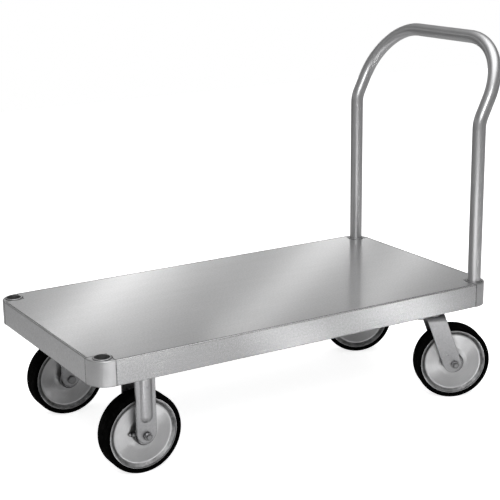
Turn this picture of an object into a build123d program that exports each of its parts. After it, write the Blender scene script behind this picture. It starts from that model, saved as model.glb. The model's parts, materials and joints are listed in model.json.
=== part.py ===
from build123d import *
import math
import os

# Flatbed platform truck, in millimetres. +Z is up and the floor is z = 0. +X points to the handle end,
# which is the rear, so the operator's left hand is at -Y. The origin is on the floor under the middle of
# the whole truck, handle included.

# ---- deck frame
DECK_LENGTH = 1168.0
DECK_WIDTH = 610.0
DECK_TOP = 324.0
RAIL_HEIGHT = 62.5
RAIL_WALL = 4.0
LEDGE_WIDTH = 38.0
FOOT_WIDTH = 30.0
FLANGE_THICKNESS = 5.0
LIP_WIDTH = 4.5
SHEET_THICKNESS = 3.0
SEAM_GAP = 1.0
EDGE_ROUND = 2.5

# ---- corner castings
CORNER_RADIUS = 50.0
CASTING_REACH = 53.0
CASTING_WALL = 6.0
SPIGOT_LENGTH = 25.0
SPIGOT_ROOT = 12.0
SOCKET_INSET_X = 34.0
SOCKET_INSET_Y = 33.0
SOCKET_RADIUS = 18.25
SOCKET_DEPTH = 54.0
SOCKET_WALL = 5.0
SOCKET_FLOOR = 4.0
SOCKET_LIP = 2.0
SOCKET_LIP_ROUND = 1.6
DRAIN_RADIUS = 5.0

# ---- under-deck beams
BOLSTER_WIDTH = 120.0
BEAM_WALL = 5.0
CROSS_MEMBER_WIDTH = 50.0
CROSS_MEMBER_DEPTH = 40.0
CROSS_MEMBER_PITCH = 220.0
CROSS_MEMBER_COUNT = 3

# ---- push handle
TUBE_RADIUS = 17.5
TUBE_WALL = 2.5
HANDLE_BEND_RISE = 431.0
HANDLE_LEAN_LENGTH = 225.0
HANDLE_LEAN = 26.2
HANDLE_BEND_RADIUS = 76.0
HANDLE_CORNER_RADIUS = 159.0

# ---- casters
FRONT_CASTER_X = -437.5
REAR_CASTER_X = 443.5
CASTER_Y = 221.0
SWIVEL_TRAIL = 61.0
SWIVEL_REST_TURN = -24.0
PLATE_LENGTH = 114.3
PLATE_WIDTH = 101.6
PLATE_THICKNESS = 6.0
PLATE_CORNER = 8.0
BOLT_PITCH_X = 88.9
BOLT_PITCH_Y = 66.7
SLOT_LENGTH = 16.0
BOLT_RADIUS = 5.0
BOLT_CLEARANCE = 0.25
BOLT_HEX = 16.0
BOLT_HEAD = 6.5
NUT_HEIGHT = 8.5
BOLT_TAIL = 3.0
THREAD_CLEARANCE = 0.05

# ---- forks
LEG_WIDTH = 52.0
LEG_INNER = 35.0
LEG_THICKNESS = 5.0
CROWN_THICKNESS = 6.0
BEND_OUTER = 16.0
RIGID_LEG_END_OFFSET = 8.0
RIB_RADIUS = 18.0
RIB_WALL = 4.0
RIB_SINK = 8.0
RIB_FOOT_ROUND = 3.0
RIB_END_ABOVE_AXLE = 50.0
SWIVEL_CROWN_FRONT = 42.0
SWIVEL_CROWN_REAR = 34.0
SWIVEL_CROWN_ROUND = 12.0
SWIVEL_LEG_SHIFT = 8.0
SWIVEL_LEG_END_DROP = 15.0
SWIVEL_LEG_END_ROUND = 16.0
SWIVEL_LEG_END_OFFSET = 6.0
SWIVEL_BOSS_RADIUS = 23.0

# ---- swivel bearing
SWIVEL_CROWN_TOP = 238.0
RACE_RADIUS = 33.0
RACE_THICKNESS = 7.0
RACE_GAP = 5.0
BALL_RADIUS = 3.5
BALL_CIRCLE = 26.0
BALL_COUNT = 20
BALL_CLEARANCE = 0.35
SKIRT_RADIUS = 38.0
SKIRT_WALL = 2.5
SKIRT_DROP = 14.0
KINGPIN_RADIUS = 8.0
KINGPIN_HEAD_RADIUS = 14.0
KINGPIN_HEAD = 4.0
KINGPIN_CLEARANCE = 0.08
KINGPIN_TAIL = 3.0
KING_NUT_HEX = 24.0
KING_NUT_HEIGHT = 9.0
KING_NUT_GAP = 0.5

# ---- wheels
WHEEL_RADIUS = 101.6
WHEEL_WIDTH = 50.8
TREAD_ROUND = 7.0
DRUM_RADIUS = 86.0
DISC_WALL = 4.0
RIM_EDGE = 22.5
RIM_LIP = 2.5
RIM_SHOULDER_RADIUS = 84.5
DISH_RADIUS = 76.0
DISH_FACE = 16.0
BOSS_RADIUS = 40.0
BOSS_FACE = 20.0
HUB_RADIUS = 27.0
HUB_HALF_LENGTH = 31.5
AXLE_RADIUS = 6.35
AXLE_HEX = 19.0
AXLE_HEAD = 8.0
AXLE_NUT = 10.0
AXLE_TAIL = 3.0
AXLE_CLEARANCE = 0.05
SLEEVE_RADIUS = 9.5
ROLLER_RADIUS = 3.2
ROLLER_HALF_LENGTH = 26.0
ROLLER_COUNT = 10
ROLLER_CLEARANCE = 0.05
WASHER_RADIUS = 24.0
WASHER_THICKNESS = 3.0
GREASE_BASE_RADIUS = 5.0
GREASE_BASE = 8.0
GREASE_NECK_RADIUS = 2.6
GREASE_HEAD_RADIUS = 3.6
GREASE_LENGTH = 15.0
GREASE_OFFSET = 25.6
GREASE_ROOT = 2.0
FRONT_WHEEL_TURN = 8.0
REAR_WHEEL_TURN = 68.0

# ---- worked out from the above
LEAN_REACH = HANDLE_LEAN_LENGTH * math.sin(math.radians(HANDLE_LEAN))
LEAN_RISE = HANDLE_LEAN_LENGTH * math.cos(math.radians(HANDLE_LEAN))
HANDLE_OVERHANG = LEAN_REACH + TUBE_RADIUS - SOCKET_INSET_X
DECK_X = -HANDLE_OVERHANG / 2
FRONT_X = DECK_X - DECK_LENGTH / 2
REAR_X = DECK_X + DECK_LENGTH / 2
LEFT_Y = -DECK_WIDTH / 2
RAIL_BOTTOM = DECK_TOP - RAIL_HEIGHT
LEDGE_TOP = DECK_TOP - SHEET_THICKNESS
LEDGE_BOTTOM = LEDGE_TOP - FLANGE_THICKNESS
FOOT_TOP = RAIL_BOTTOM + FLANGE_THICKNESS
BEAM_BOTTOM = FOOT_TOP
PLATE_BOTTOM = BEAM_BOTTOM - PLATE_THICKNESS
BEAM_HALF_SPAN = DECK_WIDTH / 2 - LEDGE_WIDTH
TONGUE_HALF_SPAN = DECK_WIDTH / 2 - RAIL_WALL - SEAM_GAP
SOCKET_BOTTOM = DECK_TOP - SOCKET_DEPTH
BARREL_RADIUS = SOCKET_RADIUS + SOCKET_WALL
LEG_OUTER = LEG_INNER + LEG_THICKNESS
SWIVEL_CROWN_BOTTOM = SWIVEL_CROWN_TOP - CROWN_THICKNESS
FORK_RACE_TOP = SWIVEL_CROWN_TOP + RACE_THICKNESS
BALL_Z = FORK_RACE_TOP + RACE_GAP / 2
ROLLER_CIRCLE = SLEEVE_RADIUS + ROLLER_RADIUS + ROLLER_CLEARANCE
HUB_BORE = ROLLER_CIRCLE + ROLLER_RADIUS + ROLLER_CLEARANCE

BESIDE_DECK = Plane(origin=(DECK_X, 0, 0), z_dir=(1, 0, 0))
SIDES = {"left": -1, "right": 1}

# how far a cutting tool runs past the face that it cuts, and how far joined solids reach into each other
OVERRUN = 1.0
TOLERANCE = 0.01


# ---------------------------------------------------------------- helpers
def outline(points, rounds=None):
    """A face with the given corners; rounds maps a corner's place in the list to its radius."""
    face = make_face(Polyline(*points, close=True))
    for index, radius in (rounds or {}).items():
        corner = Vector(*points[index])
        nearest = min(face.vertices(), key=lambda v: (Vector(v.X, v.Y) - corner).length)
        face = fillet(nearest, radius)
    return face


def rod(radius, length):
    """A round bar standing on z = 0."""
    return Cylinder(radius, length, align=(Align.CENTER, Align.CENTER, Align.MIN))


def post(x, y, low, high, radius):
    """An upright round bar between two heights."""
    return Pos(x, y, low) * rod(radius, high - low)


def block(x_span, y_span, z_span):
    """A box between two values on each axis."""
    spans = (x_span, y_span, z_span)
    size = [high - low for low, high in spans]
    middle = [(high + low) / 2 for low, high in spans]
    return Pos(*middle) * Box(*size)


def cross_bar(low, high, radius):
    """A round bar along Y, on the Y axis, between two places."""
    return Pos(0, low, 0) * (Rot(-90, 0, 0) * rod(radius, high - low))


def hex_prism(across_flats, height):
    """A hexagonal prism standing on z = 0, with its top corners broken."""
    corner_radius = across_flats / math.sqrt(3)
    broken = corner_radius - across_flats / 2
    prism = extrude(RegularPolygon(corner_radius, 6), height)
    cap = rod(corner_radius - broken / 3, height)
    return prism & chamfer(cap.edges().sort_by(Axis.Z)[-1], broken)


def side_silhouette(face, half_width):
    """A face drawn in X and Z as a slab that reaches half_width to each side along Y."""
    return extrude(Plane.XZ * face, half_width, both=True)


def group(solids):
    """Separate solids kept as one node."""
    return Compound(children=list(solids))


def mirrored(shape, flip_x, flip_y):
    """The shape, mirrored to the rear and to the right where asked."""
    if flip_x:
        shape = mirror(shape, about=BESIDE_DECK)
    if flip_y:
        shape = mirror(shape, about=Plane.XZ)
    return shape


# ---------------------------------------------------------------- deck frame
def rail_section():
    """Extruded rail: x runs inward from the outer face, y is the height."""
    points = [
        (0, RAIL_BOTTOM),
        (0, DECK_TOP),
        (LIP_WIDTH, DECK_TOP),
        (LIP_WIDTH, LEDGE_TOP),
        (LEDGE_WIDTH, LEDGE_TOP),
        (LEDGE_WIDTH, LEDGE_BOTTOM),
        (RAIL_WALL, LEDGE_BOTTOM),
        (RAIL_WALL, FOOT_TOP),
        (FOOT_WIDTH, FOOT_TOP),
        (FOOT_WIDTH, RAIL_BOTTOM),
    ]
    return outline(points, {0: EDGE_ROUND / 2, 1: EDGE_ROUND})


def socket_barrels(clearance):
    """Room for the four corner sockets."""
    front_left = post(
        FRONT_X + SOCKET_INSET_X,
        LEFT_Y + SOCKET_INSET_Y,
        RAIL_BOTTOM - OVERRUN,
        DECK_TOP + OVERRUN,
        BARREL_RADIUS + clearance,
    )
    rear_left = mirrored(front_left, True, False)
    return [front_left, rear_left, mirrored(front_left, False, True), mirrored(rear_left, False, True)]


def side_rail(side):
    start = FRONT_X + CASTING_REACH + SEAM_GAP / 2
    length = DECK_LENGTH - 2 * CASTING_REACH - SEAM_GAP
    plane = Plane(origin=(start, LEFT_Y, 0), x_dir=(0, 1, 0), z_dir=(1, 0, 0))
    rail = extrude(plane * rail_section(), length)
    for barrel in socket_barrels(SEAM_GAP):
        rail -= barrel
    return mirrored(rail, False, side == "right")


def end_rail(end):
    length = DECK_WIDTH - 2 * CASTING_REACH - SEAM_GAP
    plane = Plane(origin=(FRONT_X, length / 2, 0), x_dir=(1, 0, 0), z_dir=(0, -1, 0))
    rail = extrude(plane * rail_section(), length)
    for barrel in socket_barrels(SEAM_GAP):
        rail -= barrel
    return mirrored(rail, end == "rear", False)


def casting_footprint(inset, corner_radius):
    near = inset
    far = CASTING_REACH
    points = [(near, near), (far, near), (far, far), (near, far)]
    return Pos(FRONT_X, LEFT_Y) * outline(points, {0: corner_radius})


def corner_casting(end, side):
    """Rounded corner with a through-topped tube socket and a spigot into each rail."""
    body = extrude(Pos(0, 0, RAIL_BOTTOM) * casting_footprint(0, CORNER_RADIUS), RAIL_HEIGHT)
    rim = [
        edge
        for edge in body.edges().group_by(Axis.Z)[-1]
        if edge.center().X < FRONT_X + CASTING_REACH / 2 or edge.center().Y < LEFT_Y + CASTING_REACH / 2
    ]
    body = fillet(rim, EDGE_ROUND)
    cavity_height = RAIL_HEIGHT - CASTING_WALL
    inner = casting_footprint(CASTING_WALL, CORNER_RADIUS - CASTING_WALL)
    body -= extrude(Pos(0, 0, RAIL_BOTTOM) * inner, cavity_height)

    x = FRONT_X + SOCKET_INSET_X
    y = LEFT_Y + SOCKET_INSET_Y
    body += post(x, y, SOCKET_BOTTOM - SOCKET_FLOOR, DECK_TOP, BARREL_RADIUS)
    lip = post(x, y, DECK_TOP - OVERRUN, DECK_TOP + SOCKET_LIP, BARREL_RADIUS - SOCKET_LIP / 2)
    body += fillet(lip.edges().group_by(Axis.Z)[-1], SOCKET_LIP_ROUND)
    body -= post(x, y, SOCKET_BOTTOM, DECK_TOP + 2 * SOCKET_LIP, SOCKET_RADIUS)
    body -= post(x, y, RAIL_BOTTOM, DECK_TOP, DRAIN_RADIUS)

    run = (CASTING_REACH - SPIGOT_ROOT, CASTING_REACH + SPIGOT_LENGTH)
    across = (RAIL_WALL, RAIL_WALL + CASTING_WALL)
    height = (FOOT_TOP, LEDGE_BOTTOM)
    spigots = block(run, across, height) + block(across, run, height)
    spigots = Pos(FRONT_X, LEFT_Y) * spigots
    spigots -= post(x, y, RAIL_BOTTOM, DECK_TOP, SOCKET_RADIUS)
    return mirrored(body + spigots, end == "rear", side == "right")


def deck_sheet():
    """Flat sheet let in flush between the rails' lips, notched round the four castings."""
    inset = LIP_WIDTH + SEAM_GAP
    height = (LEDGE_TOP, DECK_TOP)
    sheet = block((FRONT_X + inset, REAR_X - inset), (LEFT_Y + inset, -LEFT_Y - inset), height)
    notch_end = CASTING_REACH + SEAM_GAP
    cut = (LEDGE_TOP - OVERRUN, DECK_TOP + OVERRUN)
    notch = block((FRONT_X, FRONT_X + notch_end), (LEFT_Y, LEFT_Y + notch_end), cut)
    for flip_x in (False, True):
        for flip_y in (False, True):
            sheet -= mirrored(notch, flip_x, flip_y)
    for barrel in socket_barrels(SEAM_GAP):
        sheet -= barrel
    return sheet


def channel(x, width, bottom, wall):
    """Upward-open channel across the deck; a tongue at each end reaches between a rail's flanges."""
    along = (x - width / 2, x + width / 2)
    inside = (x - width / 2 + wall, x + width / 2 - wall)
    span = (-BEAM_HALF_SPAN, BEAM_HALF_SPAN)
    tongue_span = (-TONGUE_HALF_SPAN, TONGUE_HALF_SPAN)
    beam = block(along, span, (bottom, LEDGE_TOP)) + block(along, tongue_span, (bottom, LEDGE_BOTTOM))
    return beam - block(inside, tongue_span, (bottom + wall, LEDGE_TOP))


def bolt_places(caster_x):
    """Where the eight plate bolts of one pair of casters stand."""
    return [
        (DECK_X + caster_x + along * BOLT_PITCH_X / 2, side * CASTER_Y + across * BOLT_PITCH_Y / 2)
        for side in SIDES.values()
        for along in (-1, 1)
        for across in (-1, 1)
    ]


def caster_bolster(caster_x):
    beam = channel(DECK_X + caster_x, BOLSTER_WIDTH, BEAM_BOTTOM, BEAM_WALL)
    for x, y in bolt_places(caster_x):
        beam -= post(x, y, PLATE_BOTTOM, BEAM_BOTTOM + 2 * BEAM_WALL, BOLT_RADIUS + BOLT_CLEARANCE)
    return beam


def cross_members():
    middle = (CROSS_MEMBER_COUNT - 1) / 2
    bottom = LEDGE_TOP - CROSS_MEMBER_DEPTH
    return group(
        channel(DECK_X + (index - middle) * CROSS_MEMBER_PITCH, CROSS_MEMBER_WIDTH, bottom, RAIL_WALL)
        for index in range(CROSS_MEMBER_COUNT)
    )


# ---------------------------------------------------------------- handle
def handle_tube():
    """Bent tube: two uprights, leaned back at the top and joined by round corners to a crossbar."""
    x = REAR_X - SOCKET_INSET_X
    y = DECK_WIDTH / 2 - SOCKET_INSET_Y
    bend = DECK_TOP + HANDLE_BEND_RISE
    corners = [
        (x, -y, SOCKET_BOTTOM),
        (x, -y, bend),
        (x + LEAN_REACH, -y, bend + LEAN_RISE),
        (x + LEAN_REACH, y, bend + LEAN_RISE),
        (x, y, bend),
        (x, y, SOCKET_BOTTOM),
    ]
    radii = [HANDLE_BEND_RADIUS, HANDLE_CORNER_RADIUS, HANDLE_CORNER_RADIUS, HANDLE_BEND_RADIUS]
    path = FilletPolyline(*corners, radius=radii)
    ring = Circle(TUBE_RADIUS) - Circle(TUBE_RADIUS - TUBE_WALL)
    return sweep(Pos(*corners[0]) * ring, path=path)


# ---------------------------------------------------------------- caster plates and their bolts
def caster_plate():
    """Slotted mounting plate, centred on x = y = 0, at its real height."""
    outer = RectangleRounded(PLATE_LENGTH, PLATE_WIDTH, PLATE_CORNER)
    plate = extrude(Pos(0, 0, PLATE_BOTTOM) * outer, PLATE_THICKNESS)
    slot = SlotOverall(SLOT_LENGTH, 2 * (BOLT_RADIUS + BOLT_CLEARANCE))
    slot = extrude(slot, 2 * PLATE_THICKNESS, both=True)
    for along in (-1, 1):
        for across in (-1, 1):
            plate -= Pos(along * BOLT_PITCH_X / 2, across * BOLT_PITCH_Y / 2, PLATE_BOTTOM) * slot
    return plate


def plate_bolts():
    """Hexagon bolts put in from below, one at each slot."""
    top = BEAM_BOTTOM + BEAM_WALL + NUT_HEIGHT + BOLT_TAIL
    head = Rot(180, 0, 0) * hex_prism(BOLT_HEX, BOLT_HEAD)
    bolt = Pos(0, 0, PLATE_BOTTOM) * head + post(0, 0, PLATE_BOTTOM - OVERRUN, top, BOLT_RADIUS)
    places = bolt_places(FRONT_CASTER_X) + bolt_places(REAR_CASTER_X)
    return group(Pos(x, y) * bolt for x, y in places)


def plate_nuts():
    nut = hex_prism(BOLT_HEX, NUT_HEIGHT) - Cylinder(BOLT_RADIUS + THREAD_CLEARANCE, 4 * NUT_HEIGHT)
    places = bolt_places(FRONT_CASTER_X) + bolt_places(REAR_CASTER_X)
    return group(Pos(x, y, BEAM_BOTTOM + BEAM_WALL) * nut for x, y in places)


# ---------------------------------------------------------------- forks
def fork_section(crown_top, bottom):
    """End view of a pressed fork, x across and y up: a crown with two legs and rounded bends."""
    points = [
        (-LEG_OUTER, bottom),
        (-LEG_OUTER, crown_top),
        (LEG_OUTER, crown_top),
        (LEG_OUTER, bottom),
        (LEG_INNER, bottom),
        (LEG_INNER, crown_top - CROWN_THICKNESS),
        (-LEG_INNER, crown_top - CROWN_THICKNESS),
        (-LEG_INNER, bottom),
    ]
    inner_bend = BEND_OUTER - LEG_THICKNESS
    rounds = {1: BEND_OUTER, 2: BEND_OUTER, 5: inner_bend, 6: inner_bend}
    return outline(points, rounds)


def pressed_section(crown_top, reach):
    """A long bar that has the fork's end view, for a fork to be cut from."""
    low = WHEEL_RADIUS - LEG_WIDTH
    plane = Plane(origin=(-reach, 0, 0), x_dir=(0, 1, 0), z_dir=(1, 0, 0))
    return extrude(plane * fork_section(crown_top, low), 2 * reach)


def stadium(radius, low, top, across):
    """An upright round bar with a round end at each height, on x = 0."""
    bar = post(0, across, low, top, radius)
    return bar + Pos(0, across, low) * Sphere(radius) + Pos(0, across, top) * Sphere(radius)


def ribbed(fork, crown_top):
    """The fork with a half-round stiffening rib pressed out of each leg."""
    low = WHEEL_RADIUS + RIB_END_ABOVE_AXLE
    top = crown_top - BEND_OUTER
    across = LEG_OUTER - RIB_SINK
    outside = block((-LEG_WIDTH, LEG_WIDTH), (LEG_OUTER - OVERRUN, 2 * LEG_OUTER), (0, crown_top))
    rib = stadium(RIB_RADIUS, low, top, across) & outside
    hollow = stadium(RIB_RADIUS - RIB_WALL, low, top, across)
    fork += rib + mirror(rib, about=Plane.XZ)
    fork = fillet([edge for edge in fork.edges() if is_rib_foot(edge, low, top)], RIB_FOOT_ROUND)
    return fork - hollow - mirror(hollow, about=Plane.XZ)


def is_rib_foot(edge, low, top):
    """Whether an edge is part of the line where a rib leaves the leg's flat outer face."""
    box = edge.bounding_box()
    on_face = abs(abs(box.center().Y) - LEG_OUTER) < TOLERANCE and box.size.Y < TOLERANCE
    within_rib = abs(box.center().X) + box.size.X / 2 < RIB_RADIUS
    return on_face and within_rib and box.min.Z > low - RIB_RADIUS and box.max.Z < top + TOLERANCE


def rigid_fork():
    """Straight fork with a stiffening rib down each leg, centred on x = y = 0."""
    half = LEG_WIDTH / 2
    axle_height = WHEEL_RADIUS + RIGID_LEG_END_OFFSET
    leg = block((-half, half), (-LEG_OUTER - OVERRUN, LEG_OUTER + OVERRUN), (axle_height, PLATE_BOTTOM))
    leg += Pos(0, 0, axle_height) * cross_bar(-LEG_OUTER - OVERRUN, LEG_OUTER + OVERRUN, half)
    fork = pressed_section(PLATE_BOTTOM, LEG_WIDTH) & leg
    fork = ribbed(fork, PLATE_BOTTOM)
    return fork - Pos(0, 0, WHEEL_RADIUS) * cross_bar(-LEG_WIDTH, LEG_WIDTH, AXLE_RADIUS + AXLE_CLEARANCE)


def swivel_fork():
    """Raked fork with the lower ball race, pivot at x = y = 0 and the axle at x = SWIVEL_TRAIL."""
    half = LEG_WIDTH / 2
    leg_end = SWIVEL_TRAIL - SWIVEL_LEG_END_OFFSET
    rake = (leg_end - SWIVEL_LEG_SHIFT) / (SWIVEL_CROWN_BOTTOM - WHEEL_RADIUS)
    end = WHEEL_RADIUS - SWIVEL_LEG_END_DROP
    end_shift = (SWIVEL_CROWN_BOTTOM - end) * rake
    points = [
        (SWIVEL_LEG_SHIFT - half, SWIVEL_CROWN_BOTTOM),
        (-SWIVEL_CROWN_FRONT, SWIVEL_CROWN_BOTTOM),
        (-SWIVEL_CROWN_FRONT, SWIVEL_CROWN_TOP),
        (SWIVEL_CROWN_REAR, SWIVEL_CROWN_TOP),
        (SWIVEL_LEG_SHIFT + half, SWIVEL_CROWN_BOTTOM),
        (SWIVEL_LEG_SHIFT + half + end_shift, end),
        (SWIVEL_LEG_SHIFT - half + end_shift, end),
    ]
    end_round = SWIVEL_LEG_END_ROUND
    leg = outline(points, {0: SWIVEL_CROWN_ROUND, 5: end_round, 6: end_round})
    silhouette = leg + Pos(leg_end, WHEEL_RADIUS) * Circle(SWIVEL_BOSS_RADIUS)
    fork = pressed_section(SWIVEL_CROWN_TOP, SWIVEL_CROWN_FRONT + 2 * SWIVEL_TRAIL)
    fork &= side_silhouette(silhouette, LEG_OUTER + OVERRUN)
    race = post(0, 0, SWIVEL_CROWN_TOP - OVERRUN, FORK_RACE_TOP, RACE_RADIUS)
    fork += fillet(race.edges().group_by(Axis.Z)[-1], EDGE_ROUND)
    fork -= Pos(0, 0, BALL_Z) * Torus(BALL_CIRCLE, BALL_RADIUS + BALL_CLEARANCE)
    fork -= post(0, 0, 0, FORK_RACE_TOP + OVERRUN, KINGPIN_RADIUS + KINGPIN_CLEARANCE)
    axle_hole = cross_bar(-LEG_WIDTH, LEG_WIDTH, AXLE_RADIUS + AXLE_CLEARANCE)
    return fork - Pos(SWIVEL_TRAIL, 0, WHEEL_RADIUS) * axle_hole


# ---------------------------------------------------------------- swivel bearing
def swivel_plate():
    """Mounting plate with the upper ball race and the dust skirt round it."""
    plate = caster_plate()
    race = post(0, 0, FORK_RACE_TOP + RACE_GAP, PLATE_BOTTOM + OVERRUN, RACE_RADIUS)
    skirt = post(0, 0, PLATE_BOTTOM - SKIRT_DROP, PLATE_BOTTOM + OVERRUN, SKIRT_RADIUS)
    skirt = fillet(skirt.edges().group_by(Axis.Z)[0], EDGE_ROUND / 2)
    skirt -= post(0, 0, 0, PLATE_BOTTOM, SKIRT_RADIUS - SKIRT_WALL)
    plate += race + skirt
    plate -= Pos(0, 0, BALL_Z) * Torus(BALL_CIRCLE, BALL_RADIUS + BALL_CLEARANCE)
    plate -= post(0, 0, 0, BEAM_BOTTOM + OVERRUN, KINGPIN_RADIUS)
    return plate - post(0, 0, BEAM_BOTTOM - KINGPIN_HEAD, BEAM_BOTTOM + OVERRUN, KINGPIN_HEAD_RADIUS)


def at_swivels(shape):
    """Copies of a shape at both swivel pivots, as one node."""
    return group(Pos(DECK_X + REAR_CASTER_X, side * CASTER_Y) * shape for side in SIDES.values())


def kingpins():
    tail = SWIVEL_CROWN_BOTTOM - KING_NUT_GAP - KING_NUT_HEIGHT - KINGPIN_TAIL
    head = post(0, 0, BEAM_BOTTOM - KINGPIN_HEAD, BEAM_BOTTOM, KINGPIN_HEAD_RADIUS)
    return at_swivels(head + post(0, 0, tail, BEAM_BOTTOM, KINGPIN_RADIUS))


def king_nuts():
    nut = Rot(180, 0, 0) * hex_prism(KING_NUT_HEX, KING_NUT_HEIGHT)
    nut -= Cylinder(KINGPIN_RADIUS + THREAD_CLEARANCE, 4 * KING_NUT_HEIGHT)
    return at_swivels(Pos(0, 0, SWIVEL_CROWN_BOTTOM - KING_NUT_GAP) * nut)


def swivel_balls():
    ball = Sphere(BALL_RADIUS)
    balls = []
    for side in SIDES.values():
        for index in range(BALL_COUNT):
            angle = 2 * math.pi * index / BALL_COUNT
            x = DECK_X + REAR_CASTER_X + BALL_CIRCLE * math.cos(angle)
            y = side * CASTER_Y + BALL_CIRCLE * math.sin(angle)
            balls.append(Pos(x, y, BALL_Z) * ball)
    return group(balls)


# ---------------------------------------------------------------- wheels, built round the Y axis
def spun(points, rounds):
    """A ring turned about Y from points of radius and place along Y."""
    return revolve(outline(points, rounds), Axis.Y)


def tyre():
    half = WHEEL_WIDTH / 2
    lip_radius = DRUM_RADIUS + RIM_LIP
    inner_edge = RIM_EDGE - RIM_LIP
    one_side = [
        (DRUM_RADIUS, inner_edge),
        (lip_radius, inner_edge),
        (lip_radius, RIM_EDGE),
        (lip_radius + RIM_LIP, half),
        (WHEEL_RADIUS, half),
    ]
    other_side = [(radius, -along) for radius, along in reversed(one_side)]
    shoulder, opposite = len(one_side) - 1, len(one_side)
    return spun(one_side + other_side, {shoulder: TREAD_ROUND, opposite: TREAD_ROUND})


def wheel_discs():
    """Two pressed discs back to back; their flanges make the drum that carries the tyre."""
    drum_bore = DRUM_RADIUS - DISC_WALL
    points = [
        (HUB_RADIUS, BOSS_FACE),
        (BOSS_RADIUS, BOSS_FACE),
        (DISH_RADIUS, DISH_FACE),
        (RIM_SHOULDER_RADIUS, RIM_EDGE),
        (DRUM_RADIUS + RIM_LIP, RIM_EDGE),
        (DRUM_RADIUS + RIM_LIP, RIM_EDGE - RIM_LIP),
        (DRUM_RADIUS, RIM_EDGE - RIM_LIP),
        (DRUM_RADIUS, 0),
        (drum_bore, 0),
        (drum_bore, DISH_FACE - DISC_WALL / 2),
        (DISH_RADIUS, DISH_FACE - DISC_WALL),
        (BOSS_RADIUS, BOSS_FACE - DISC_WALL),
        (HUB_RADIUS, BOSS_FACE - DISC_WALL),
    ]
    disc = spun(points, {1: 2 * DISC_WALL, 2: 1.5 * DISC_WALL, 3: RIM_LIP / 2})
    return group([disc, mirror(disc, about=Plane.XZ)])


def wheel_hub():
    hub = cross_bar(-HUB_HALF_LENGTH, HUB_HALF_LENGTH, HUB_RADIUS)
    hub = chamfer(hub.edges().filter_by(GeomType.CIRCLE), EDGE_ROUND / 2)
    return hub - cross_bar(-WHEEL_WIDTH, WHEEL_WIDTH, HUB_BORE)


def roller_bearing():
    roller = cross_bar(-ROLLER_HALF_LENGTH, ROLLER_HALF_LENGTH, ROLLER_RADIUS)
    step = 360 / ROLLER_COUNT
    roller = Pos(ROLLER_CIRCLE, 0, 0) * roller
    return group(Rot(0, step * index, 0) * roller for index in range(ROLLER_COUNT))


def grease_fitting():
    """Radial nipple on the outer end of the hub, pointing to -X."""
    base = rod(GREASE_BASE_RADIUS, GREASE_BASE + GREASE_ROOT)
    neck = rod(GREASE_NECK_RADIUS, GREASE_LENGTH + GREASE_ROOT - GREASE_HEAD_RADIUS)
    head = Pos(0, 0, GREASE_LENGTH + GREASE_ROOT - GREASE_HEAD_RADIUS) * Sphere(GREASE_HEAD_RADIUS)
    fitting = Pos(GREASE_ROOT - HUB_RADIUS, -GREASE_OFFSET, 0) * (Rot(0, -90, 0) * (base + neck + head))
    return fitting - cross_bar(-WHEEL_WIDTH, WHEEL_WIDTH, HUB_RADIUS)


def axle_bolt():
    """Axle through both legs, its head on the inner (+Y) side."""
    head = Pos(0, LEG_OUTER, 0) * (Rot(-90, 0, 0) * hex_prism(AXLE_HEX, AXLE_HEAD))
    return head + cross_bar(-LEG_OUTER - AXLE_NUT - AXLE_TAIL, LEG_OUTER + OVERRUN, AXLE_RADIUS)


def axle_nut():
    nut = hex_prism(AXLE_HEX, AXLE_NUT) - Cylinder(AXLE_RADIUS + THREAD_CLEARANCE, 4 * AXLE_NUT)
    return Pos(0, -LEG_OUTER, 0) * (Rot(90, 0, 0) * nut)


def axle_sleeve():
    sleeve = cross_bar(-LEG_INNER, LEG_INNER, SLEEVE_RADIUS)
    return sleeve - cross_bar(-LEG_OUTER, LEG_OUTER, AXLE_RADIUS + AXLE_CLEARANCE)


def thrust_washers():
    washer = cross_bar(LEG_INNER - WASHER_THICKNESS, LEG_INNER, WASHER_RADIUS)
    washer -= cross_bar(0, LEG_OUTER, SLEEVE_RADIUS + AXLE_CLEARANCE)
    return [washer, mirror(washer, about=Plane.XZ)]


# ---------------------------------------------------------------- places of the casters
def to_rigid(shape, side):
    """From a wheel's own frame to a front caster's axle; the right one is the left one's mirror image."""
    placed = Pos(DECK_X + FRONT_CASTER_X, -CASTER_Y, WHEEL_RADIUS) * shape
    return mirrored(placed, False, side == "right")


def to_swivel(shape, side, x=SWIVEL_TRAIL, z=WHEEL_RADIUS):
    """From a wheel's own frame to a rear caster's axle, turned as the casters stand."""
    if side == "right":
        shape = mirror(shape, about=Plane.XZ)
    turned = Rot(0, 0, SWIVEL_REST_TURN) * (Pos(x, 0, z) * shape)
    return Pos(DECK_X + REAR_CASTER_X, SIDES[side] * CASTER_Y, 0) * turned


def wheel_parts(turn):
    """The solids of a wheel that has rolled on by an angle since its nipple pointed forward."""
    return {
        "tyre": tyre(),
        "wheel_discs": wheel_discs(),
        "wheel_hub": wheel_hub(),
        "roller_bearing": roller_bearing(),
        "grease_fitting": Rot(0, turn, 0) * grease_fitting(),
    }


# ---------------------------------------------------------------- the whole truck
def deck_nodes():
    nodes = {
        "deck_sheet": deck_sheet(),
        "caster_bolster_front": caster_bolster(FRONT_CASTER_X),
        "caster_bolster_rear": caster_bolster(REAR_CASTER_X),
        "cross_members": cross_members(),
        "handle_tube": handle_tube(),
        "plate_bolts": plate_bolts(),
        "plate_nuts": plate_nuts(),
    }
    for side in SIDES:
        nodes["side_rail_" + side] = side_rail(side)
    for end in ("front", "rear"):
        nodes["end_rail_" + end] = end_rail(end)
        for side in SIDES:
            nodes[f"corner_casting_{end}_{side}"] = corner_casting(end, side)
    return nodes


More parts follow.
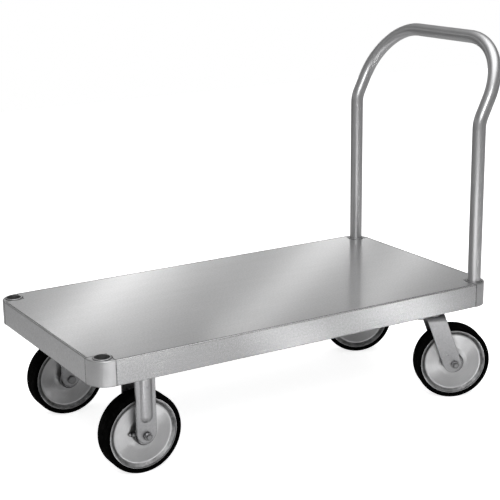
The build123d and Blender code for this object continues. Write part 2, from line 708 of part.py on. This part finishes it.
def front_caster_nodes():
    nodes = {}
    for side, sign in SIDES.items():
        place = Pos(DECK_X + FRONT_CASTER_X, sign * CASTER_Y)
        nodes["rigid_plate_" + side] = place * caster_plate()
        nodes["rigid_fork_" + side] = place * rigid_fork()
        for name, shape in wheel_parts(FRONT_WHEEL_TURN).items():
            nodes[f"{name}_front_{side}"] = to_rigid(shape, side)
    nodes["rigid_axle_bolts"] = group(to_rigid(axle_bolt(), side) for side in SIDES)
    nodes["rigid_axle_nuts"] = group(to_rigid(axle_nut(), side) for side in SIDES)
    nodes["rigid_axle_sleeves"] = group(to_rigid(axle_sleeve(), side) for side in SIDES)
    nodes["rigid_thrust_washers"] = group(
        to_rigid(washer, side) for side in SIDES for washer in thrust_washers()
    )
    return nodes


def rear_caster_nodes():
    nodes = {
        "kingpins": kingpins(),
        "king_nuts": king_nuts(),
        "swivel_balls": swivel_balls(),
    }
    for side, sign in SIDES.items():
        nodes["swivel_plate_" + side] = Pos(DECK_X + REAR_CASTER_X, sign * CASTER_Y) * swivel_plate()
        nodes["swivel_fork_" + side] = to_swivel(swivel_fork(), side, 0, 0)
        nodes["swivel_axle_bolt_" + side] = to_swivel(axle_bolt(), side)
        nodes["swivel_axle_nut_" + side] = to_swivel(axle_nut(), side)
        nodes["swivel_axle_sleeve_" + side] = to_swivel(axle_sleeve(), side)
        washers = [to_swivel(washer, side) for washer in thrust_washers()]
        nodes["swivel_thrust_washers_" + side] = group(washers)
        for name, shape in wheel_parts(REAR_WHEEL_TURN).items():
            nodes[f"{name}_rear_{side}"] = to_swivel(shape, side)
    return nodes


def main():
    os.makedirs("parts", exist_ok=True)
    nodes = {**deck_nodes(), **front_caster_nodes(), **rear_caster_nodes()}
    for name, shape in nodes.items():
        export_step(shape, f"parts/{name}.step")
    print(len(nodes), "nodes; deck centre at x =", round(DECK_X, 3))
    print("crossbar centre z =", round(DECK_TOP + HANDLE_BEND_RISE + LEAN_RISE, 2))


main()
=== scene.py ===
import json
import math

import bpy
from mathutils import Matrix, Vector


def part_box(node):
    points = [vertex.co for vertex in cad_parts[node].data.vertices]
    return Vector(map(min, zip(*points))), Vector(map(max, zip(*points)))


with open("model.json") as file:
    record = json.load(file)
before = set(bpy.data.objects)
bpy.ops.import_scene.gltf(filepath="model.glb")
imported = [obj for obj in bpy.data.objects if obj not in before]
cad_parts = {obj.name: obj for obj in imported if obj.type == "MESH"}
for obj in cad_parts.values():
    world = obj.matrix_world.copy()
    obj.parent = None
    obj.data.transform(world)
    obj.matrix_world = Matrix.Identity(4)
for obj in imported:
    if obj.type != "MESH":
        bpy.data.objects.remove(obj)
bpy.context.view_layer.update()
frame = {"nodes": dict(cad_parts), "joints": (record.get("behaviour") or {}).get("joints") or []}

# ---- camera, in metres and degrees
TARGET = Vector((-0.112, -0.135, 0.4735))
AZIMUTH = -31.05
ELEVATION = 15.41
DISTANCE = 3.30
ROLL = -0.745
SENSOR = 36.0
LENS = 94.48

# ---- studio
FLOOR_HALF_SIZE = 5.0
FLOOR_WHITE = 0.90
FLOOR_GLOW = 0.80
FLOOR_BOUNCE = 0.50
FLOOR_BOUNCE_BEHIND = 0.16
FLOOR_FADE = (1.0, 1.9)
FLOOR_FILL = 0.10
# sky brightness against the sine of the height above the horizon
SKY = ((-0.10, 0.18), (0.14, 0.35), (0.23, 0.95), (0.29, 0.14), (0.50, 0.25), (1.0, 0.85))
POOL_HEIGHT = 2.4
# pools of light on the floor in front of the truck: place, radius, power
FLOOR_POOLS = (
    ((0.35, -1.0), 0.16, 900.0),
    ((0.8, -1.05), 0.18, 1400.0),
    ((-0.8, -0.8), 0.24, 650.0),
)
DECK_HEIGHT = 0.32
STRIP_POWER = 11.5
# strip lamps behind the truck: middle, length, width, lean from upright in degrees, share of the power
STRIPS = (
    ((1.5, 4.5, 1.85), 1.6, 0.15, 50.0, 1.0),
    ((2.05, 4.5, 1.75), 1.2, 0.30, 50.0, 0.20),
    ((3.0, 4.5, 1.95), 1.6, 0.15, 45.0, 0.75),
    ((4.0, 4.5, 2.0), 1.2, 0.15, 40.0, 0.6),
)
# soft boxes: name, place, the place that it faces, width and height, power
SOFT_BOXES = (
    ("overhead", (0.3, -0.5, 3.4), (0.2, -0.3, 0.0), (3.6, 2.8), 45.0),
    ("key", (-1.6, -2.6, 2.4), (-0.2, -1.0, 0.0), (1.4, 1.0), 36.0),
)
# low enough for the deck not to mirror it, and out of the camera's sight
FRONT_PANEL = ("front_panel", (-0.25, -1.15, 0.20), (0.47, -0.10, 0.20), (0.9, 0.22), 1.5)

# ---- finishes
BRUSHED_GREY = 0.51
CAST_GREY = 0.50
BEAM_GREY = 0.52
TUBE_GREY = 0.52
PLATED_GREY = 0.46
FASTENER_GREY = 0.34
PIN_GREY = 0.38
DISC_GREY = 0.65
HUB_GREY = 0.16
RUBBER_GREY = 0.0016
# inner and outer radius of the groove at a disc's rim, darkened with painted shade
RIM_GROOVE_SHADE = (0.0765, 0.0870)
COAT_ROUGHNESS = 0.15


# ---------------------------------------------------------------- node graphs
class Graph:
    """A material's node tree, with short calls for the nodes that the finishes share."""

    def __init__(self, name, metallic=1.0):
        self.material = bpy.data.materials.new(name)
        self.material.use_nodes = True
        self.tree = self.material.node_tree
        self.shader = self.tree.nodes["Principled BSDF"]
        self.shader.inputs["Metallic"].default_value = metallic
        self.place = self.node("ShaderNodeTexCoord").outputs["Object"]

    def node(self, kind, inputs=(), **settings):
        made = self.tree.nodes.new(kind)
        for name, value in settings.items():
            setattr(made, name, value)
        for name, value in dict(inputs).items():
            self.feed(made.inputs[name], value)
        return made

    def feed(self, socket, value):
        if isinstance(value, bpy.types.NodeSocket):
            self.tree.links.new(value, socket)
        else:
            socket.default_value = value

    def math(self, operation, first, second=0.0):
        return self.node("ShaderNodeMath", {0: first, 1: second}, operation=operation).outputs[0]

    def vector(self, operation, first, second=(0, 0, 0)):
        made = self.node("ShaderNodeVectorMath", {0: first, 1: second}, operation=operation)
        return made.outputs["Value" if operation in ("DOT_PRODUCT", "LENGTH") else "Vector"]

    def scaled(self, vector, factor):
        made = self.node("ShaderNodeVectorMath", {0: vector, "Scale": factor}, operation="SCALE")
        return made.outputs["Vector"]

    def total(self, *terms):
        result = terms[0]
        for term in terms[1:]:
            result = self.math("ADD", result, term)
        return result

    def stretched(self, scale, turn=(0, 0, 0), place=None):
        """The place on the object, turned and then scaled on each axis."""
        turned = self.node("ShaderNodeMapping", {"Vector": place or self.place, "Rotation": turn})
        return self.vector("MULTIPLY", turned.outputs["Vector"], scale)

    def noise(self, place, scale=1.0, detail=3.0, roughness=0.55):
        made = self.node(
            "ShaderNodeTexNoise",
            {"Vector": place, "Scale": scale, "Detail": detail, "Roughness": roughness},
        )
        return made.outputs["Fac"]

    def between(self, value, low, high, to_low=0.0, to_high=1.0):
        """value taken from one range to another, with soft ends."""
        made = self.node(
            "ShaderNodeMapRange",
            {"Value": value, "From Min": low, "From Max": high, "To Min": to_low, "To Max": to_high},
            interpolation_type="SMOOTHSTEP",
        )
        return made.outputs["Result"]

    def swing(self, value, amount):
        """A texture value turned into a small change either side of none."""
        return self.math("MULTIPLY", self.math("SUBTRACT", value, 0.5), 2.0 * amount)

    def scratches(self, density, turn, share):
        """Sparse thin straight marks, all close to one direction."""
        lines = self.noise(self.stretched((2.5, density, density), turn), detail=1.0)
        patches = self.noise(self.place, scale=9.0, detail=1.0)
        marks = self.between(lines, 0.5 + share, 0.5 + share + 0.03)
        return self.math("MULTIPLY", marks, self.between(patches, 0.45, 0.65))

    def convex_edges(self, radius):
        """1 on convex edges: polished wear on the turned metal, and the line of painted seam shade on the
        other metals.
        """
        rounded = self.node("ShaderNodeBevel", {"Radius": radius}, samples=6).outputs["Normal"]
        flat = self.node("ShaderNodeNewGeometry").outputs["Normal"]
        bent = self.math("SUBTRACT", 1.0, self.vector("DOT_PRODUCT", rounded, flat))
        return self.between(bent, 0.01, 0.12)

    def seam_shade_and_grime_lines(self, radius):
        """1 along the arrises, for a thin dark line of painted seam shade with some grime, fading in places.
        """
        faded = self.between(self.noise(self.place, scale=30.0, detail=3.0), 0.56, 0.70)
        return self.math("MULTIPLY", self.convex_edges(radius), self.between(faded, 0.0, 1.0, 1.0, 0.45))

    def close_shade_and_dirt(self, distance):
        """1 where another surface is close by: painted shade where the light is cut off, with some collected
        dirt.
        """
        shade = self.node("ShaderNodeAmbientOcclusion", {"Distance": distance}, samples=6)
        return self.between(shade.outputs["AO"], 0.75, 0.25)

    def bump(self, height, depth):
        made = self.node("ShaderNodeBump", {"Height": height, "Distance": depth, "Strength": 1.0})
        return made.outputs["Normal"]

    def tangent(self, direction):
        """A direction on the object, as the direction of the grain in the shader."""
        made = self.node(
            "ShaderNodeVectorTransform",
            {"Vector": direction},
            vector_type="VECTOR",
            convert_from="OBJECT",
            convert_to="WORLD",
        )
        self.feed(self.shader.inputs["Tangent"], made.outputs["Vector"])

    def finish(self, tint, brightness, roughness, normal):
        self.feed(self.shader.inputs["Base Color"], self.scaled(tint, brightness))
        self.feed(self.shader.inputs["Roughness"], roughness)
        self.feed(self.shader.inputs["Normal"], normal)
        return self.material


# ---------------------------------------------------------------- finishes
def brushed(name, grey, grain, roughness, coat=0.0):
    """Mill-finished aluminium with its rolling grain along one axis."""
    graph = Graph(name)
    along, across = 5.0, 900.0
    fine = [along if axis == grain else across for axis in range(3)]
    broad = [1.2 if axis == grain else 60.0 for axis in range(3)]
    lines = graph.noise(graph.stretched(fine), detail=4.0, roughness=0.65)
    bands = graph.noise(graph.stretched(broad), detail=2.0)
    cloud = graph.noise(graph.place, scale=7.0, detail=4.0)
    speckle = graph.noise(graph.place, scale=210.0, detail=4.0, roughness=0.75)
    marks = graph.total(
        graph.scratches(420.0, (0, 0, 0.35), 0.20),
        graph.scratches(380.0, (0, 0, -0.55), 0.21),
        graph.scratches(300.0, (0, 0, 1.30), 0.22),
    )
    # a dark line along the arrises is painted shade of the seams beside them, with some grime
    seam_shade_and_grime = graph.seam_shade_and_grime_lines(0.0045)
    # darkening where other surfaces are close is painted shade, with some dirt
    shade_and_dirt = graph.close_shade_and_dirt(0.010)
    brightness = graph.total(
        grey,
        graph.swing(lines, 0.04),
        graph.swing(bands, 0.02),
        graph.swing(cloud, 0.04),
        graph.swing(speckle, 0.20),
        graph.math("MULTIPLY", marks, 0.06),
        graph.math("MULTIPLY", seam_shade_and_grime, -0.34),
        graph.math("MULTIPLY", shade_and_dirt, -0.40),
    )
    rough = graph.total(
        roughness,
        graph.swing(lines, 0.03),
        graph.swing(cloud, 0.03),
        graph.math("MULTIPLY", seam_shade_and_grime, 0.15),
        graph.math("MULTIPLY", shade_and_dirt, 0.20),
    )
    height = graph.total(lines, graph.math("MULTIPLY", marks, -1.2))
    graph.shader.inputs["Coat Weight"].default_value = coat
    graph.shader.inputs["Coat Roughness"].default_value = COAT_ROUGHNESS
    return graph.finish((1.0, 1.0, 1.01), brightness, rough, graph.bump(height, 0.00001))


def drawn_tube(name):
    """Drawn and polished tube: draw lines along the uprights and, above the corners, along the crossbar."""
    graph = Graph(name)
    height = graph.node("ShaderNodeSeparateXYZ", {"Vector": graph.place}).outputs["Z"]
    top = graph.between(height, 0.86, 0.93)
    upright = graph.noise(graph.stretched((700.0, 700.0, 4.0)), detail=4.0, roughness=0.6)
    crossing = graph.noise(graph.stretched((700.0, 4.0, 700.0)), detail=4.0, roughness=0.6)
    mixed = graph.node("ShaderNodeMix", {"Factor": top, "A": upright, "B": crossing}, data_type="FLOAT")
    lines = mixed.outputs["Result"]
    cloud = graph.noise(graph.place, scale=11.0, detail=4.0)
    marks = graph.scratches(260.0, (0.9, 0.4, 0.2), 0.20)
    # darkening where other surfaces are close is painted shade, with some dirt
    shade_and_dirt = graph.close_shade_and_dirt(0.008)
    brightness = graph.total(
        TUBE_GREY,
        graph.swing(lines, 0.06),
        graph.swing(cloud, 0.05),
        graph.math("MULTIPLY", marks, 0.08),
        graph.math("MULTIPLY", shade_and_dirt, -0.30),
    )
    rough = graph.total(0.36, graph.swing(lines, 0.03), graph.swing(cloud, 0.04))
    return graph.finish((1.0, 1.0, 1.01), brightness, rough, graph.bump(lines, 0.000004))


def cast(name):
    """Sand-cast aluminium, fettled: a fine grain with soft mottling, a dark line on the arrises that is
    painted seam shade with grime, and painted shade where other surfaces are close.
    """
    graph = Graph(name)
    grain = graph.noise(graph.place, scale=900.0, detail=3.0, roughness=0.6)
    pits = graph.node("ShaderNodeTexVoronoi", {"Vector": graph.place, "Scale": 260.0}).outputs["Distance"]
    cloud = graph.noise(graph.place, scale=26.0, detail=4.0)
    # a dark line along the arrises is painted shade of the seams beside them, with some grime
    seam_shade_and_grime = graph.seam_shade_and_grime_lines(0.0045)
    # darkening where other surfaces are close is painted shade, with some dirt
    shade_and_dirt = graph.close_shade_and_dirt(0.010)
    brightness = graph.total(
        CAST_GREY,
        graph.swing(grain, 0.10),
        graph.swing(cloud, 0.10),
        graph.math("MULTIPLY", seam_shade_and_grime, -0.32),
        graph.math("MULTIPLY", shade_and_dirt, -0.40),
    )
    rough = graph.total(
        0.36,
        graph.swing(grain, 0.08),
        graph.swing(cloud, 0.06),
        graph.math("MULTIPLY", seam_shade_and_grime, 0.12),
        graph.math("MULTIPLY", shade_and_dirt, 0.15),
    )
    height = graph.total(grain, graph.math("MULTIPLY", pits, 0.6))
    return graph.finish((1.0, 1.0, 1.01), brightness, rough, graph.bump(height, 0.00012))


def plated(name, grey=PLATED_GREY, roughness=0.33, spangle=260.0):
    """Zinc plate over pressed steel: small crystals of differing tone, a dark line on the arrises that is
    painted seam shade with grime, and painted shade where other surfaces are close.
    """
    graph = Graph(name)
    crystals = graph.node("ShaderNodeTexVoronoi", {"Vector": graph.place, "Scale": spangle})
    shade = graph.node("ShaderNodeSeparateXYZ", {"Vector": crystals.outputs["Color"]}).outputs["X"]
    grain = graph.noise(graph.place, scale=700.0, detail=3.0)
    cloud = graph.noise(graph.place, scale=16.0, detail=4.0)
    marks = graph.scratches(320.0, (0.5, 0.2, 0.8), 0.20)
    # a dark line along the arrises is painted shade of the seams beside them, with some grime
    seam_shade_and_grime = graph.seam_shade_and_grime_lines(0.0030)
    # darkening where other surfaces are close is painted shade, with some dirt
    shade_and_dirt = graph.close_shade_and_dirt(0.030)
    brightness = graph.total(
        grey,
        graph.swing(shade, 0.03),
        graph.swing(grain, 0.04),
        graph.swing(cloud, 0.06),
        graph.math("MULTIPLY", marks, 0.05),
        graph.math("MULTIPLY", seam_shade_and_grime, -0.26),
        graph.math("MULTIPLY", shade_and_dirt, -0.36),
    )
    rough = graph.total(
        roughness,
        graph.swing(shade, 0.03),
        graph.swing(cloud, 0.08),
        graph.math("MULTIPLY", seam_shade_and_grime, 0.10),
        graph.math("MULTIPLY", shade_and_dirt, 0.20),
    )
    return graph.finish((1.0, 1.0, 1.02), brightness, rough, graph.bump(grain, 0.00003))


class Axle:
    """Where a wheel's axle is: a point on it and its direction."""

    def __init__(self, wheel):
        low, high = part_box("tyre_" + wheel)
        self.centre = (low + high) / 2
        joint = next(j for j in frame["joints"] if j["child"] == wheel_body(wheel))
        self.direction = Vector(joint["axis"]).normalized()


def wheel_body(wheel):
    end, side = wheel.split("_")
    return f"{end}_wheel_{side}"


def from_axle(graph, axle):
    """The distance from a wheel's axle, the distance along it, and the direction round it."""
    direction = tuple(axle.direction)
    offset = graph.vector("SUBTRACT", graph.place, tuple(axle.centre))
    along = graph.vector("DOT_PRODUCT", offset, direction)
    outward = graph.vector("SUBTRACT", offset, graph.scaled(direction, along))
    radius = graph.vector("LENGTH", outward)
    around = graph.vector("NORMALIZE", graph.vector("CROSS_PRODUCT", direction, outward))
    return radius, along, around


def rings(graph, radius, along, scale):
    """A texture that changes with the distance from the axle only, like tool marks."""
    place = graph.node("ShaderNodeCombineXYZ", {"X": radius, "Y": along}).outputs["Vector"]
    return graph.noise(place, scale=scale, detail=4.0, roughness=0.65)


def turned(name, axle, grey, roughness, anisotropy, shaded_groove=None):
    """Metal spun or turned round an axle, with tool rings that fan its highlights out, a groove darkened
    with painted shade, and painted shade with dirt where other surfaces are close.
    """
    graph = Graph(name)
    radius, along, around = from_axle(graph, axle)
    tool_marks = rings(graph, radius, along, 1400.0)
    cloud = graph.noise(graph.place, scale=22.0, detail=4.0)
    marks = graph.scratches(300.0, (0.2, 0.9, 0.3), 0.20)
    worn = graph.convex_edges(0.002)
    # darkening where other surfaces are close is painted shade, with some dirt
    shade_and_dirt = graph.close_shade_and_dirt(0.020)
    # the groove at the rim is darkened with painted shade, in patches
    if shaded_groove:
        past_inner_edge = graph.between(radius, shaded_groove[0], shaded_groove[0] + 0.002)
        faded = graph.between(radius, shaded_groove[1], shaded_groove[1] + 0.001)
        patchy = graph.between(graph.noise(graph.place, scale=60.0, detail=4.0), 0.3, 0.7, 0.6, 1.0)
        groove_shade = graph.math("MULTIPLY", graph.math("SUBTRACT", past_inner_edge, faded), patchy)
        shade_and_dirt = graph.math("MAXIMUM", shade_and_dirt, groove_shade)
    brightness = graph.total(
        grey,
        graph.swing(tool_marks, 0.07),
        graph.swing(cloud, 0.12),
        graph.math("MULTIPLY", marks, 0.08),
        graph.math("MULTIPLY", worn, 0.04),
        graph.math("MULTIPLY", shade_and_dirt, -0.44),
    )
    rough = graph.total(
        roughness,
        graph.swing(tool_marks, 0.08),
        graph.swing(cloud, 0.06),
        graph.math("MULTIPLY", shade_and_dirt, 0.20),
    )
    graph.shader.inputs["Anisotropic"].default_value = anisotropy
    graph.tangent(around)
    return graph.finish((1.0, 1.0, 1.01), brightness, rough, graph.bump(tool_marks, 0.00004))


def rubber(name, axle, outer_radius):
    """Black moulded rubber: fine moulding rings on the walls, a scuffed and dusty tread."""
    graph = Graph(name, metallic=0.0)
    radius, along, _ = from_axle(graph, axle)
    moulding = rings(graph, radius, along, 500.0)
    grain = graph.noise(graph.place, scale=1300.0, detail=3.0)
    cloud = graph.noise(graph.place, scale=35.0, detail=5.0, roughness=0.65)
    tread = graph.between(radius, outer_radius - 0.006, outer_radius - 0.0005)
    scuffs = graph.between(graph.noise(graph.place, scale=140.0, detail=4.0), 0.50, 0.72)
    dust = graph.math("MULTIPLY", tread, graph.between(cloud, 0.35, 0.75))
    seam_place = graph.math("ABSOLUTE", along)
    seam = graph.math("MULTIPLY", graph.between(seam_place, 0.0012, 0.0004), tread)
    brightness = graph.total(
        RUBBER_GREY,
        graph.math("MULTIPLY", dust, 0.004),
        graph.math("MULTIPLY", graph.math("MULTIPLY", scuffs, tread), 0.003),
        graph.swing(cloud, 0.0010),
    )
    rough = graph.total(
        0.42,
        graph.swing(moulding, 0.06),
        graph.swing(cloud, 0.08),
        graph.math("MULTIPLY", tread, 0.22),
    )
    height = graph.total(
        grain,
        graph.math("MULTIPLY", moulding, 0.8),
        graph.math("MULTIPLY", graph.math("MULTIPLY", scuffs, tread), -1.5),
        graph.math("MULTIPLY", seam, 3.0),
    )
    graph.shader.inputs["Specular IOR Level"].default_value = 0.002
    return graph.finish((1.0, 0.98, 0.95), brightness, rough, graph.bump(height, 0.00010))


# ---------------------------------------------------------------- dressing the nodes
def dress(material, *names):
    for name in names:
        mesh = frame["nodes"][name].data
        mesh.materials.clear()
        mesh.materials.append(material)


def dress_frame():
    along_x, along_y = 0, 1
    dress(brushed("brushed_deck", BRUSHED_GREY, along_x, 0.34, coat=1.0), "deck_sheet")
    sides = brushed("extruded_side_rail", BRUSHED_GREY, along_x, 0.26)
    dress(sides, "side_rail_left", "side_rail_right")
    ends = brushed("extruded_end_rail", BRUSHED_GREY, along_y, 0.30)
    dress(ends, "end_rail_front", "end_rail_rear")
    beams = brushed("extruded_beam", BEAM_GREY, along_y, 0.36)
    dress(beams, "caster_bolster_front", "caster_bolster_rear", "cross_members")
    castings = [f"corner_casting_{end}_{side}" for end in ("front", "rear") for side in ("left", "right")]
    dress(cast("cast_corner"), *castings)
    dress(drawn_tube("drawn_tube"), "handle_tube")


def dress_casters():
    pressed = plated("zinc_plated_steel")
    bolts = plated("zinc_plated_fasteners", FASTENER_GREY, 0.32, 500.0)
    pins = plated("steel_pins", PIN_GREY, 0.24, 700.0)
    dress(
        pressed,
        *[f"{part}_{side}" for part in ("rigid_plate", "rigid_fork", "swivel_plate", "swivel_fork")
          for side in ("left", "right")],
    )
    dress(bolts, "plate_bolts", "plate_nuts", "rigid_axle_bolts", "rigid_axle_nuts", "king_nuts")
    dress(pins, "kingpins", "swivel_balls", "rigid_axle_sleeves", "rigid_thrust_washers")
    for side in ("left", "right"):
        dress(bolts, "swivel_axle_bolt_" + side, "swivel_axle_nut_" + side)
        dress(pins, "swivel_axle_sleeve_" + side, "swivel_thrust_washers_" + side)
    for wheel in ("front_left", "front_right", "rear_left", "rear_right"):
        dress_wheel(wheel, pins, bolts)


def dress_wheel(wheel, pins, bolts):
    axle = Axle(wheel)
    low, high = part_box("tyre_" + wheel)
    dress(rubber("rubber_" + wheel, axle, (high.z - low.z) / 2), "tyre_" + wheel)
    dress(turned("spun_disc_" + wheel, axle, DISC_GREY, 0.33, 0.94, RIM_GROOVE_SHADE), "wheel_discs_" + wheel)
    dress(turned("turned_hub_" + wheel, axle, HUB_GREY, 0.40, 0.3), "wheel_hub_" + wheel)
    dress(pins, "roller_bearing_" + wheel)
    dress(bolts, "grease_fitting_" + wheel)


# ---------------------------------------------------------------- studio
def link(name, data):
    made = bpy.data.objects.new(name, data)
    bpy.context.scene.collection.objects.link(made)
    return made


def make_camera():
    turn, rise = math.radians(AZIMUTH), math.radians(ELEVATION)
    back = Vector((math.sin(turn) * math.cos(rise), -math.cos(turn) * math.cos(rise), math.sin(rise)))
    lens = bpy.data.cameras.new("camera")
    lens.sensor_width = SENSOR
    lens.lens = LENS
    camera = link("camera", lens)
    aim = (-back).to_track_quat("-Z", "Y").to_matrix().to_4x4()
    roll = Matrix.Rotation(math.radians(ROLL), 4, "Z")
    camera.matrix_world = Matrix.Translation(TARGET + back * DISTANCE) @ aim @ roll
    bpy.context.scene.camera = camera


def make_floor():
    mesh = bpy.data.meshes.new("floor")
    size = FLOOR_HALF_SIZE
    corners = [(-size, -size, 0), (size, -size, 0), (size, size, 0), (-size, size, 0)]
    mesh.from_pydata(corners, [], [(0, 1, 2, 3)])
    floor = link("floor", mesh)
    graph = Graph("pale_floor", metallic=0.0)
    mottle = graph.noise(graph.place, scale=2.0, detail=3.0)
    seen = graph.node("ShaderNodeLightPath").outputs["Is Camera Ray"]
    depth = graph.node("ShaderNodeSeparateXYZ", {"Vector": graph.place}).outputs["Y"]
    bounce = graph.between(depth, *FLOOR_FADE, FLOOR_BOUNCE, FLOOR_BOUNCE_BEHIND)
    shade = graph.between(seen, 0.0, 1.0, bounce, FLOOR_WHITE)
    brightness = graph.total(shade, graph.swing(mottle, 0.01))
    graph.shader.inputs["Specular IOR Level"].default_value = 0.1
    graph.shader.inputs["Emission Color"].default_value = (1.0, 1.0, 1.0, 1.0)
    glow = graph.between(seen, 0.0, 1.0, FLOOR_FILL, FLOOR_GLOW)
    graph.feed(graph.shader.inputs["Emission Strength"], glow)
    mesh.materials.append(graph.finish((1.0, 1.0, 1.0), brightness, 0.8, graph.bump(mottle, 0.0001)))


def make_world():
    """Soft surround: dim below, with a bright band low in the sky, and white where the camera sees it."""
    world = bpy.data.worlds.new("studio")
    world.use_nodes = True
    bpy.context.scene.world = world
    nodes, links = world.node_tree.nodes, world.node_tree.links
    background = nodes["Background"]
    place = nodes.new("ShaderNodeTexCoord")
    parts = nodes.new("ShaderNodeSeparateXYZ")
    links.new(place.outputs["Generated"], parts.inputs["Vector"])
    shift = nodes.new("ShaderNodeMapRange")
    shift.inputs["From Min"].default_value = -1.0
    links.new(parts.outputs["Z"], shift.inputs["Value"])
    ramp = nodes.new("ShaderNodeValToRGB")
    ramp.color_ramp.interpolation = "EASE"
    stops = ramp.color_ramp.elements
    stops.remove(stops[1])
    for sine, level in SKY:
        stops.new((sine + 1.0) / 2.0).color = (level, level, level, 1.0)
    stops.remove(stops[0])
    links.new(shift.outputs["Result"], ramp.inputs["Fac"])
    path = nodes.new("ShaderNodeLightPath")
    mix = nodes.new("ShaderNodeMix")
    mix.data_type = "RGBA"
    links.new(path.outputs["Is Camera Ray"], mix.inputs["Factor"])
    links.new(ramp.outputs["Color"], mix.inputs[6])
    mix.inputs[7].default_value = (1.0, 1.0, 1.0, 1.0)
    links.new(mix.outputs[2], background.inputs["Color"])


def make_strip(index, middle, length, width, lean, share):
    """Leaning strip lamp that stands behind the truck and faces it."""
    lamp = bpy.data.lights.new(f"strip_{index}", "AREA")
    lamp.shape = "RECTANGLE"
    lamp.size, lamp.size_y = width, length
    lamp.energy = STRIP_POWER * share * width * length
    facing = Vector((0, 0, DECK_HEIGHT)) - Vector(middle)
    aim = facing.to_track_quat("-Z", "Y").to_matrix().to_4x4()
    strip = link(f"strip_{index}", lamp)
    strip.matrix_world = Matrix.Translation(middle) @ aim @ Matrix.Rotation(math.radians(-lean), 4, "Z")


def make_soft_box(name, place, aim, size, energy):
    lamp = bpy.data.lights.new(name, "AREA")
    lamp.shape = "RECTANGLE"
    lamp.size, lamp.size_y = size
    lamp.energy = energy
    box = link(name, lamp)
    box.location = place
    box.rotation_euler = (Vector(aim) - Vector(place)).to_track_quat("-Z", "Y").to_euler()
    return box


def make_pool(index, place, radius, power):
    """A spot lamp straight above the floor, whose pool of light shows in the truck's near side."""
    lamp = bpy.data.lights.new(f"pool_{index}", "SPOT")
    lamp.energy = power
    lamp.spot_size = 2.0 * math.atan(radius / POOL_HEIGHT)
    lamp.spot_blend = 0.6
    spot = link(f"pool_{index}", lamp)
    spot.location = (*place, POOL_HEIGHT)


def make_studio():
    make_floor()
    make_world()
    for index, strip in enumerate(STRIPS):
        make_strip(index, *strip)
    for soft_box in SOFT_BOXES:
        make_soft_box(*soft_box)
    make_soft_box(*FRONT_PANEL).visible_camera = False
    for index, pool in enumerate(FLOOR_POOLS):
        make_pool(index, *pool)


dress_frame()
dress_casters()
make_camera()
make_studio()
bpy.context.scene.view_settings.view_transform = "Standard"
